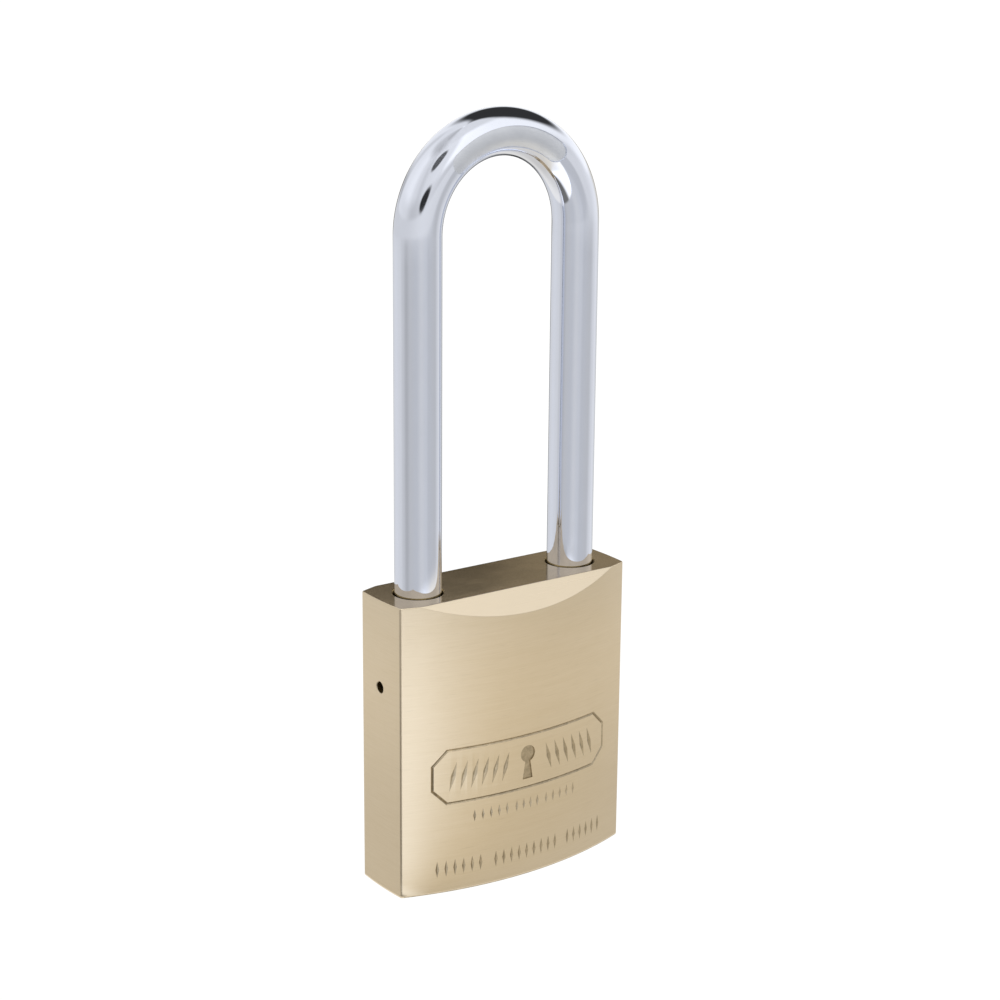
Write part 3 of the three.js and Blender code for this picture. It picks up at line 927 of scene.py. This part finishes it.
def make_body():
    bore_top, screw_top = body_top + past, toe_bore_floor + past
    screw_seat = screw_high.z - screw_head_height - loose
    drain_hole = drill(drain_hole_radius, leg_x - bore_radius, half_width + side_bow + past,
                       flare=drain_hole_flare, axis="X", z=drain_hole_level)
    drain_hole.data.transform(Matrix.Rotation(math.pi, 4, "Z"))
    tools = [
        drill(bore_radius, heel_floor, bore_top, -leg_x, flare=bore_flare, sides=96),
        drill(bore_radius, toe_bore_floor, bore_top, leg_x, flare=bore_flare, sides=96),
        raised("cavity", cylinder_outline(loose), -past, cylinder_length + loose),
        drill(clip_outside + loose, cylinder_length, plug_top),
        drill(cam_room_radius, cylinder_length, cam_top + loose),
        drill(cam_pilot_radius + running, cam_top, cam_top + cam_pilot_length + loose),
        drill(ball_radius + running, -leg_x, leg_x, axis="X", z=ball_level),
        drain_hole,
        drill(screw_radius + loose, cylinder_length, screw_top, screw_x),
        drill(screw_head_radius + loose, screw_seat, screw_top, screw_x),
    ]
    finishes = [brushed_faces(), crescent_face(), top_face(), bored_brass(), engraved_brass()]
    piece = worked(body_blank(), tools + engraving_tools(finishes[-1]))
    tidy(piece)

    def region(centre, normal):
        """0 brushed, 1 crescents, 2 top and underside, 3 holes, 4 engraving."""
        x, y, z = centre
        level = 0.94
        sunk = front_depth(min(abs(x), bow_half)) - abs(y)
        crescent_level = body_top - crescent_slope * (abs(y) - top_flat_half)
        if normal.z > level and z > body_top - 0.2 or normal.z < -level and z < 0.05:
            return 2
        if abs(x) < bow_half and 0.012 < sunk < 0.4 and y < 0 and z < body_top / 2:
            return 4
        if abs(z - crescent_level) < 0.05 and normal.z > 0.4:
            return 1
        return 3 if sunk > 0.5 and abs(x) < half_width - 0.4 else 0

    return dressed(piece, "case", ["body"], finishes, region, sharp=28)


# -------------------- shackle

def bar_tree():
    """Geometry nodes: a round bar along a curve."""
    rule = Rule("round_bar", Bar_radius="Float", Sides="Int")
    fields = {"Resolution": rule.given["Sides"], "Radius": rule.given["Bar_radius"]}
    section = rule.node("GeometryNodeCurvePrimitiveCircle", fields)
    return rule.end(rule.swept(rule.given["Geometry"], section))


def shackle_line(steps=112):
    """The shackle's centre line, from the heel's end round the arch to the toe's end."""
    made = [(-leg_x, 0, heel_end), (-leg_x, 0, heel_end + leg_end_chamfer), (-leg_x, 0, arch_level - 1)]
    for i in range(steps + 1):
        x, rise = around(leg_x, math.pi * (1 - i / steps))
        made.append((x, 0, arch_level + rise))
    return made + [(leg_x, 0, arch_level - 1), (leg_x, 0, toe_end + leg_end_chamfer), (leg_x, 0, toe_end)]


def bar_along(name, points, radius, sides, finish, chamfer):
    """A round bar whose first and last stretches taper to chamfered ends."""
    curve = bpy.data.curves.new(name, "CURVE")
    curve.dimensions = "3D"
    spline = curve.splines.new("POLY")
    spline.points.add(len(points) - 1)
    for spot, point in zip(spline.points, points):
        spot.co = (*(Vector(point) * MM), 1)
        spot.radius = 1
    for end in (spline.points[0], spline.points[-1]):
        end.radius = 1 - chamfer / radius
    piece = shown(name, curve)
    piece = apply_tree(piece, bar_tree(), Bar_radius=radius * MM, Sides=sides, Finish=finish)
    tidy(piece)
    return piece


def groove_tool():
    """The ring that the ball runs down into at the foot of the heel leg."""
    reach = leg_x - locked_ball_x
    rings = []
    for i in range(72):
        a = 2 * math.pi * i / 72
        ring = []
        for k in range(32):
            out, rise = around(notch_radius, 2 * math.pi * k / 32)
            x, y = around(reach + out, a)
            ring.append((x - leg_x, y, groove_level + rise))
        rings.append(ring)
    return skinned("groove_tool", rings, closed=True)


panel_depth = 0.17
panel_from = math.radians(47)
panel_to = math.radians(137)
panel_inner_radius = 13.6
panel_outer_radius = 17.2
panel_proud = 0.4


def panel_tool():
    """A round-ended strip laid over the front of the arch."""
    middle_radius = (panel_inner_radius + panel_outer_radius) / 2
    half = (panel_outer_radius - panel_inner_radius) / 2
    length = middle_radius * (panel_to - panel_from) / 2
    stations = 90
    across = 10
    rings = []
    for i in range(stations + 1):
        s = length * -math.cos(math.pi * i / stations)
        over = abs(s) - (length - half)
        reach = half if over <= 0 else math.sqrt(max(half ** 2 - over ** 2, 0.0004))
        arch_angle = (panel_from + panel_to) / 2 + s / middle_radius
        strip = []
        for section_radius in (leg_radius - panel_depth, leg_radius + panel_proud):
            row = []
            for k in range(across + 1):
                radial = middle_radius + reach * (2 * k / across - 1) - leg_x
                depth = -math.sqrt(leg_radius ** 2 - radial ** 2)
                scale = section_radius / leg_radius
                x, rise = around(leg_x + radial * scale, arch_angle)
                row.append((x, depth * scale, arch_level + rise))
            strip.append(row)
        rings.append(strip[0] + strip[1][::-1])
    return skinned("panel_tool", rings)


def make_shackle():
    finishes = [chrome_plate(), matt_panel()]
    piece = bar_along("shackle_bar", shackle_line(), leg_radius, 96, finishes[0], leg_end_chamfer)
    tools = [
        ball("toe_notch", notch_radius, (locked_ball_x, 0, ball_level), 32),
        ball("heel_notch", notch_radius, (-locked_ball_x, 0, ball_level), 32),
        groove_tool(),
        block("relief", (-relief_x, -2 * leg_radius, groove_level), (0, 2 * leg_radius, ball_level)),
        panel_tool(),
    ]
    piece = worked(piece, tools)

    def region(centre, normal):
        """0 plated bar, 1 the sunk panel's floor."""
        x, y, z = centre
        if z < arch_level or y > 0:
            return 0
        radial = math.hypot(x, z - arch_level) - leg_x
        return 1 if math.hypot(radial, y) < leg_radius - panel_depth * 0.7 else 0

    return dressed(piece, "shackle", ["shackle"], finishes, region)


# -------------------- springs

def spring_tree():
    """Geometry nodes: a wire coil with a close turn at each end."""
    rule = Rule("coil_spring", Turns="Float", Coil_radius="Float", Wire="Float", Length="Float")
    turns, radius, wire = [rule.given[name] for name in ("Turns", "Coil_radius", "Wire")]
    fields = {"Resolution": 40, "Rotations": turns, "Start Radius": radius, "End Radius": radius}
    spiral = rule.node("GeometryNodeCurveSpiral", {**fields, "Height": turns})
    spot = rule.node("GeometryNodeInputPosition")
    made_turns = rule.node("ShaderNodeSeparateXYZ", {0: spot}, "Z")
    free = rule.given["Length"] - wire - wire * turns
    clamped = rule.node("ShaderNodeClamp", {"Value": (made_turns - 1) / (turns - 2)})
    height = wire * made_turns + free * clamped - made_turns + wire / 2
    fields = {"Geometry": spiral, "Offset": rule.combine(Z=height)}
    line = rule.node("GeometryNodeSetPosition", fields)
    section = rule.node("GeometryNodeCurvePrimitiveCircle", {"Resolution": 14, "Radius": wire / 2})
    return rule.end(rule.swept(line, section))


def make_spring(name, tree, node, turns, radius, wire, length, start, finish, along_x=False):
    piece = apply_tree(
        new_piece(name, [], []), tree,
        Turns=turns, Coil_radius=radius * MM, Wire=wire * MM, Length=length * MM, Finish=finish,
    )
    if along_x:
        piece.data.transform(Matrix.Rotation(math.pi / 2, 4, "Y"))
    piece.data.transform(Matrix.Translation(Vector(start) * MM))
    tidy(piece)
    return dressed(piece, "case", [node], [finish])


def make_springs():
    tree = spring_tree()
    finish = drawn_wire()
    wire = 0.8
    make_spring("shackle_spring_coil", tree, "shackle_spring", 5.0, leg_radius - wire / 2 - loose, wire,
                heel_end - heel_floor - 0.2, (-leg_x, 0, heel_floor + 0.1), finish)
    wire = 0.6
    low, high = corners("cam_return_spring")
    make_spring("cam_spring_coil", tree, "cam_return_spring", 4.0, cam_stem_radius + running + wire / 2, wire,
                high.z - low.z, (0, 0, low.z), finish)
    wire = 0.35
    for i, z in enumerate(pin_heights):
        low, high = corners(f"pin_spring_{i + 1}")
        make_spring(f"pin_spring_coil_{i + 1}", tree, f"pin_spring_{i + 1}", 5.0,
                    pin_radius - wire / 2 - 0.1, wire, high.x - low.x, (low.x, 0, z), finish, True)


# -------------------- ball lock

def make_balls():
    finish = ground_steel()
    for name, node, body, centre in (
        ("toe_ball_ground", "locking_ball_toe", "toe_ball", toe_ball),
        ("heel_ball_ground", "locking_ball_heel", "heel_ball", heel_ball),
    ):
        dressed(ball(name, ball_radius, centre, 40), body, [node], [finish])


def cam_outline():
    """A circle cut back to clear both balls all through the turn, as it stands when locked."""
    reach = ball_radius + running
    steps = 144
    samples = 40
    made = []
    for i in range(steps):
        a = 2 * math.pi * i / steps
        radius = cam_radius
        for side, stroke in ((0, toe_ball_stroke), (math.pi, heel_ball_stroke)):
            for k in range(samples + 1):
                opened = k / samples
                distance = locked_ball_x - stroke * opened
                off = a - (side - opening_turn * opened)
                miss = distance * math.sin(off)
                if math.cos(off) <= 0 or abs(miss) >= reach:
                    continue
                radius = min(radius, distance * math.cos(off) - math.sqrt(reach ** 2 - miss ** 2))
        made.append(around(radius, a))
    return made


def make_cam(finish):
    stem_bottom = cam_low.z
    plate = raised("locking_cam_plate", cam_outline(), cam_bottom, cam_top, ease=0.15)
    stem = rod("stem", cam_stem_radius, stem_bottom, cam_bottom + joined, ease=0.2)
    pilot = rod("pilot", cam_pilot_radius, cam_top - joined, cam_high.z, ease=0.3)
    piece = worked(plate, [stem, pilot], "UNION")
    half_width, half_length = tongue_half_width + loose, tongue_half_length + loose
    slot = block("slot", (-half_length, -half_width, stem_bottom - past),
                 (half_length, half_width, tongue_top + loose))
    piece = quarter_turned(worked(piece, [slot]))
    dressed(piece, "cam", ["locking_cam"], [finish])


# -------------------- pin cylinder

def keyway_outline():
    """A slot with a ward standing in from each side, its corners eased."""
    half, stepped, slope = keyway_half, keyway_half - keyway_step, 0.3
    length = keyway_pin_edge - keyway_deep_edge
    ward_start = keyway_deep_edge + 0.3 * length
    ward_end = keyway_deep_edge + 0.5 * length
    narrow = keyway_pin_edge - 0.25 * length
    points = [
        (keyway_deep_edge, -half), (ward_start, -half), (ward_start + slope, -stepped),
        (ward_end, -stepped), (ward_end + slope, -half), (keyway_pin_edge, -half),
        (keyway_pin_edge, stepped), (narrow, stepped), (narrow - slope, half),
        (keyway_deep_edge, half),
    ]
    return eased(points, 0.12, 2, closed=True)


def make_plug(finish):
    body_end = cylinder_length - end_wall - running
    groove_low, groove_high = clip_low.z - running, clip_high.z + running
    groove_radius = neck_radius - 0.75
    flange = plug_radius + flange_lip
    flange_top = face_level + flange_length
    profile = [
        [0, face_level], [flange, face_level], [flange, flange_top], [plug_radius, flange_top],
        [plug_radius, body_end], [neck_radius, body_end], [neck_radius, groove_low],
        [groove_radius, groove_low], [groove_radius, groove_high], [neck_radius, groove_high],
        [neck_radius, plug_top], [0, plug_top],
    ]
    blank = turned("keyed_plug", profile, sides=96, ease=0.12)
    tongue = block("tongue", (-tongue_half_length, -tongue_half_width, plug_top - joined),
                   (tongue_half_length, tongue_half_width, tongue_top))
    piece = worked(blank, [tongue], "UNION")
    chambers = [drill(chamber_radius, chamber_bottom, plug_radius + past, axis="X", z=z, sides=48)
                for z in pin_heights]
    keyway = raised("keyway", keyway_outline(), face_level - past, keyway_top)
    piece = worked(piece, [keyway, *chambers])
    dressed(quarter_turned(piece), "plug", ["cylinder_plug"], [finish])


def make_housing(finish):
    plug_bore = plug_radius + running
    flange_room = face_level + flange_length + running
    blank = raised("cylinder_barrel", cylinder_outline(0), face_level, cylinder_length, ease=0.15)
    slot_half = strip_high.y + loose
    tools = [
        drill(plug_bore, face_level - past, cylinder_length - end_wall),
        drill(neck_radius + running, face_level - past, cylinder_length + past),
        drill(plug_bore + flange_lip, face_level - past, flange_room),
        drill(screw_radius + loose, screw_low.z - loose, cylinder_length + past, screw_x, sides=48),
        block("strip_slot", (strip_low.x - loose, -slot_half, strip_low.z - loose),
              (chimney_end + past, slot_half, strip_high.z + loose)),
    ]
    tools += [drill(chamber_radius, plug_radius - past, chimney_end + past, axis="X", z=z, sides=48)
              for z in pin_heights]
    dressed(worked(blank, tools), "case", ["cylinder_housing"], [finish])


def make_pins(brass, nickel):
    tip_radius = pin_radius / 3
    waist = pin_radius - 0.3
    length = driver_end - driver_start
    for i, z in enumerate(pin_heights):
        tip = key_pin_tips[i]
        profile = [[0, tip], [tip_radius, tip], [pin_radius, tip + key_pin_cone],
                   [pin_radius, key_pin_end], [0, key_pin_end]]
        pin = turned(f"key_pin_turned_{i + 1}", profile, "Y", (0, 0, z), 48, ease=0.1)
        dressed(pin, f"key_pin_{i + 1}", [f"key_pin_{i + 1}"], [brass])
        shares = [(0, 0), (pin_radius, 0), (pin_radius, 0.2), (waist, 0.3), (waist, 0.6),
                  (pin_radius, 0.7), (pin_radius, 1), (0, 1)]
        profile = [[r, driver_start + length * share] for r, share in shares]
        pin = turned(f"driver_pin_turned_{i + 1}", profile, "X", (0, 0, z), 48, ease=0.1)
        dressed(pin, f"driver_pin_{i + 1}", [f"driver_pin_{i + 1}"], [nickel])


def make_clip(finish):
    half_gap = 0.6
    steps = 72
    sweep = 2 * (math.pi - half_gap)
    angles = [half_gap + sweep * i / steps for i in range(steps + 1)]
    ring = [around(clip_outside, a) for a in angles]
    ring += [around(clip_inside, a) for a in reversed(angles)]
    piece = quarter_turned(raised("clip_ring", ring, clip_low.z, clip_high.z, ease=0.12))
    dressed(piece, "plug", ["plug_retaining_clip"], [finish])


def make_cover_strip(finish):
    low, high = strip_low, strip_high
    half = high.y
    section = eased([(low.x, -half), (high.x, -half), (high.x, half), (low.x, half)], 0.15, 3, closed=True)
    piece = raised("cover_strip", section, low.z, high.z, ease=0.12)
    dressed(piece, "case", ["chamber_cover_strip"], [finish])


def make_screw(finish):
    """A socket screw with a rolled thread on its shank."""
    pitch, thread_depth, sides, rows_per_turn = 0.5, 0.25, 48, 8
    tip_length, tip_share = 0.4, 0.55
    head_bottom = screw_high.z - screw_head_height
    shank_bottom = screw_low.z
    rows = round((head_bottom - shank_bottom) / pitch * rows_per_turn)
    rings = []
    for row in range(rows + 1):
        z = shank_bottom + (head_bottom + joined / 2 - shank_bottom) * row / rows
        ring = []
        for i in range(sides):
            a = 2 * math.pi * i / sides
            phase = (z / pitch - a / (2 * math.pi)) % 1
            taper = min(1, (z - shank_bottom) / tip_length + tip_share)
            radius = screw_radius * taper - thread_depth * abs(2 * phase - 1)
            x, y = around(radius, a)
            ring.append((screw_x + x, y, z))
        rings.append(ring)
    shank = skinned("retaining_screw_thread", rings)
    head = rod("head", screw_head_radius, head_bottom, screw_high.z, at=(screw_x, 0, 0), ease=0.25)
    piece = worked(shank, [head], "UNION")
    hexagon = [(screw_x + x, y) for x, y in (around(screw_socket_radius, math.pi * i / 3) for i in range(6))]
    socket = raised("socket", hexagon, screw_high.z - screw_socket_depth, screw_high.z + past)
    dressed(worked(piece, [socket]), "case", ["cylinder_retaining_screw"], [finish])


# -------------------- studio

def unlit(piece):
    """Hides a studio card from everything but reflections."""
    piece.visible_camera = False
    piece.visible_diffuse = False
    piece.visible_shadow = False
    piece.visible_transmission = False


def along(stops, azimuth):
    """Smooth values between [azimuth, brightness, warmth] stops that close into a circle."""
    first = stops[0][0]
    loop = [*stops, (first + 360, *stops[0][1:])]
    azimuth = (azimuth - first) % 360 + first
    (start, *low), (end, *high) = next(pair for pair in zip(loop, loop[1:]) if azimuth <= pair[1][0])
    return Vector(low).lerp(Vector(high), step_up(azimuth, start, end))


def step_up(value, start, end):
    t = min(1, max(0, (value - start) / (end - start)))
    return t * t * (3 - 2 * t)


# The studio's cards, band by band from the floor up. Each stop round a band is an azimuth in degrees,
# the brightness there and its warmth, where minus is cool.
floor_cards = [
    (0, 0.72, 0.7), (60, 0.66, 0.8), (105, 0.75, 0.6), (150, 0.75, 0.5), (172, 0.5, 0.3),
    (185, 0.15, 0.5), (218, 0.15, 0.5), (238, 1.0, 0), (252, 1.48, -1), (266, 1.48, -1),
    (284, 1.02, 0.2), (305, 0.8, 1.4), (328, 0.73, 1.2),
]
leg_cards = [
    (0, 0.82, 0), (25, 0.7, 0), (44, 0.2, 0), (54, 0.05, 0), (64, 0.2, 0), (80, 0.7, 0),
    (120, 0.76, -0.1), (150, 0.72, 0), (165, 0.62, 0), (182, 0.48, 0), (200, 0.57, 0),
    (225, 0.58, -0.2), (250, 0.67, 0), (270, 0.64, -0.2), (285, 0.57, -0.2), (320, 0.56, 0), (345, 0.74, 0),
]
back_cards = [
    (0, 0.9, 0), (20, 0.7, 0.8), (38, 0.28, 2), (49, 0.26, 2.2), (57, 0.09, 2.4),
    (76, 0.08, 1.5), (92, 0.7, 0), (180, 0.7, 0), (250, 0.8, 0), (320, 0.75, 0),
]
level_cards = [
    (0, 1.08, 0), (75, 1.08, 0), (90, 0.55, 0), (105, 0.5, 0), (120, 0.83, 0), (165, 0.77, 0),
    (200, 0.6, 0), (255, 0.73, 0), (285, 0.66, 0), (300, 0.6, 0), (330, 0.74, 0),
]
high_cards = [
    (0, 0.95, 0), (90, 0.9, 0), (106, 0.7, 0), (125, 0.88, 0), (165, 0.95, 0), (195, 0.78, 0),
    (210, 0.68, 0), (228, 0.8, 0), (262, 0.85, 0), (273, 1.15, 0), (285, 1.1, 0), (305, 1.04, 0),
]
ceiling_cards = [(0, 0.8, 0), (120, 0.82, 0), (165, 0.6, 0), (200, 0.5, 0), (245, 0.78, 0)]

# Dark round cards: azimuth and half width, elevation and half height in degrees, and brightness
dark_cards = [(25, 60, 53, 33, 0.035), (239, 15, 13, 8, 0.03), (236, 16, 44, 9, 0.1)]
arch_height = 118


def card_glow(x, y, z):
    """Brightness and warmth of the cards at a place on the floor, the wall or the ceiling."""
    azimuth = math.degrees(math.atan2(y, x))
    reach = math.hypot(x, y)
    slope = math.degrees(math.atan2(z - arch_height, reach))
    value = along(floor_cards, math.degrees(math.atan2(y + half_corner, x + half_width)))
    value.x *= 0.97 + 0.24 * step_up(reach, 50, 130)
    # Each band takes over from the one before it between a start and an end
    for cards, measure, start, end in (
        (leg_cards, reach, 152, 174),
        (back_cards, z, 76, 92),
        (level_cards, z, 128, 142),
        (high_cards, slope, 10, 24),
        (ceiling_cards, slope, 52, 64),
    ):
        value = value.lerp(along(cards, azimuth), step_up(measure, start, end))
    for centre, half_turn, level, half_height, dark in dark_cards:
        off = abs((azimuth - centre + 180) % 360 - 180) / half_turn
        away = math.hypot(off, (slope - level) / half_height)
        value.x += (dark - value.x) * (1 - step_up(away, 0.75, 1.1))
    return value


def make_surround():
    """The cards all round the padlock, from the middle of the floor up the wall to the ceiling."""
    radius, height, above_floor, sides = 200, 470, 0.4, 240
    floor_rows, wall_rows, ceiling_rows = 40, 80, 24
    warm_red, warm_blue = 0.05, 0.1
    track = [(radius * k / floor_rows, above_floor) for k in range(floor_rows + 1)]
    track += [(radius, height * k / wall_rows) for k in range(1, wall_rows + 1)]
    track += [(radius * (1 - k / ceiling_rows), height) for k in range(1, ceiling_rows)]
    points, glow = [], []
    for r, z in track:
        for i in range(sides):
            x, y = around(r, 2 * math.pi * i / sides)
            points.append((x, y, z))
            value, warmth = card_glow(x, y, z)
            glow += [value * (1 + warm_red * warmth), value, value * (1 - warm_blue * warmth), 1]
    mesh = bpy.data.meshes.new("studio_cards")
    mesh.from_pydata([Vector(p) * MM for p in points], [], bands(len(track), sides))
    mesh.attributes.new("glow", "FLOAT_COLOR", "POINT").data.foreach_set("color", glow)
    cards = shown("studio_cards", mesh)
    surface = Surface("studio_cards")
    level = surface.node("ShaderNodeAttribute", output="Color", attribute_name="glow")
    light = surface.node("ShaderNodeEmission", {"Color": level, "Strength": 1.0})
    mesh.materials.append(surface.end(light))
    unlit(cards)


def make_floor():
    reach = 8000
    square = [(-reach, -reach, 0), (reach, -reach, 0), (reach, reach, 0), (-reach, reach, 0)]
    floor = new_piece("studio_floor", square, [(0, 1, 2, 3)])
    material = bpy.data.materials.new("pale_floor")
    material.use_nodes = True
    shader = material.node_tree.nodes["Principled BSDF"]
    shader.inputs["Base Color"].default_value = (0.93, 0.93, 0.93, 1)
    shader.inputs["Roughness"].default_value = 0.7
    shader.inputs["Specular IOR Level"].default_value = 0.1
    floor.data.materials.append(material)


def add_light(name, place, size, power, aim=(0, 0, 60)):
    lamp = bpy.data.lights.new(name, "AREA")
    lamp.shape = "DISK"
    lamp.size = size * MM
    lamp.energy = power
    light = shown(name, lamp)
    light.location = Vector(place) * MM
    light.rotation_euler = (Vector(place) - Vector(aim)).to_track_quat("Z", "Y").to_euler()


def make_studio():
    world = bpy.data.worlds.new("studio")
    scene.world = world
    world.use_nodes = True
    world.node_tree.nodes["Background"].inputs["Color"].default_value = (1, 1, 1, 1)
    world.node_tree.nodes["Background"].inputs["Strength"].default_value = 1.05
    make_floor()
    make_surround()
    add_light("soft_overhead", (-250, -350, 900), 700, 5)
    scene.view_settings.view_transform = "Standard"
    scene.view_settings.look = "None"


def make_camera():
    azimuth, elevation, roll = [math.radians(angle) for angle in (-35.93, 15.73, 0.51)]
    distance, lens, aim_right, aim_height = 381.6, 80.65, 0.673, 65.56
    right = Vector((math.cos(azimuth), math.sin(azimuth), 0))
    back = Vector((right.y * math.cos(elevation), -right.x * math.cos(elevation), math.sin(elevation)))
    aim = right * aim_right + Vector((0, 0, aim_height))
    level_up = back.cross(right)
    across = right * math.cos(roll) + level_up * math.sin(roll)
    up = back.cross(across)
    data = bpy.data.cameras.new("camera")
    data.lens = lens
    data.sensor_width = 36
    data.clip_start, data.clip_end = 0.01, 50
    camera = shown("camera", data)
    turn = Matrix((across, up, back)).transposed().to_4x4()
    camera.matrix_world = Matrix.Translation((aim + back * distance) * MM) @ turn
    scene.camera = camera


make_camera()
make_studio()
make_body()
make_shackle()
make_springs()
make_balls()
brass_finish = machined_brass()
nickel_finish = nickel_silver()
black_finish = black_oxide()
make_cam(brass_finish)
make_housing(brass_finish)
make_plug(nickel_finish)
make_pins(brass_finish, nickel_finish)
make_clip(black_finish)
make_cover_strip(brass_finish)
make_screw(black_finish)
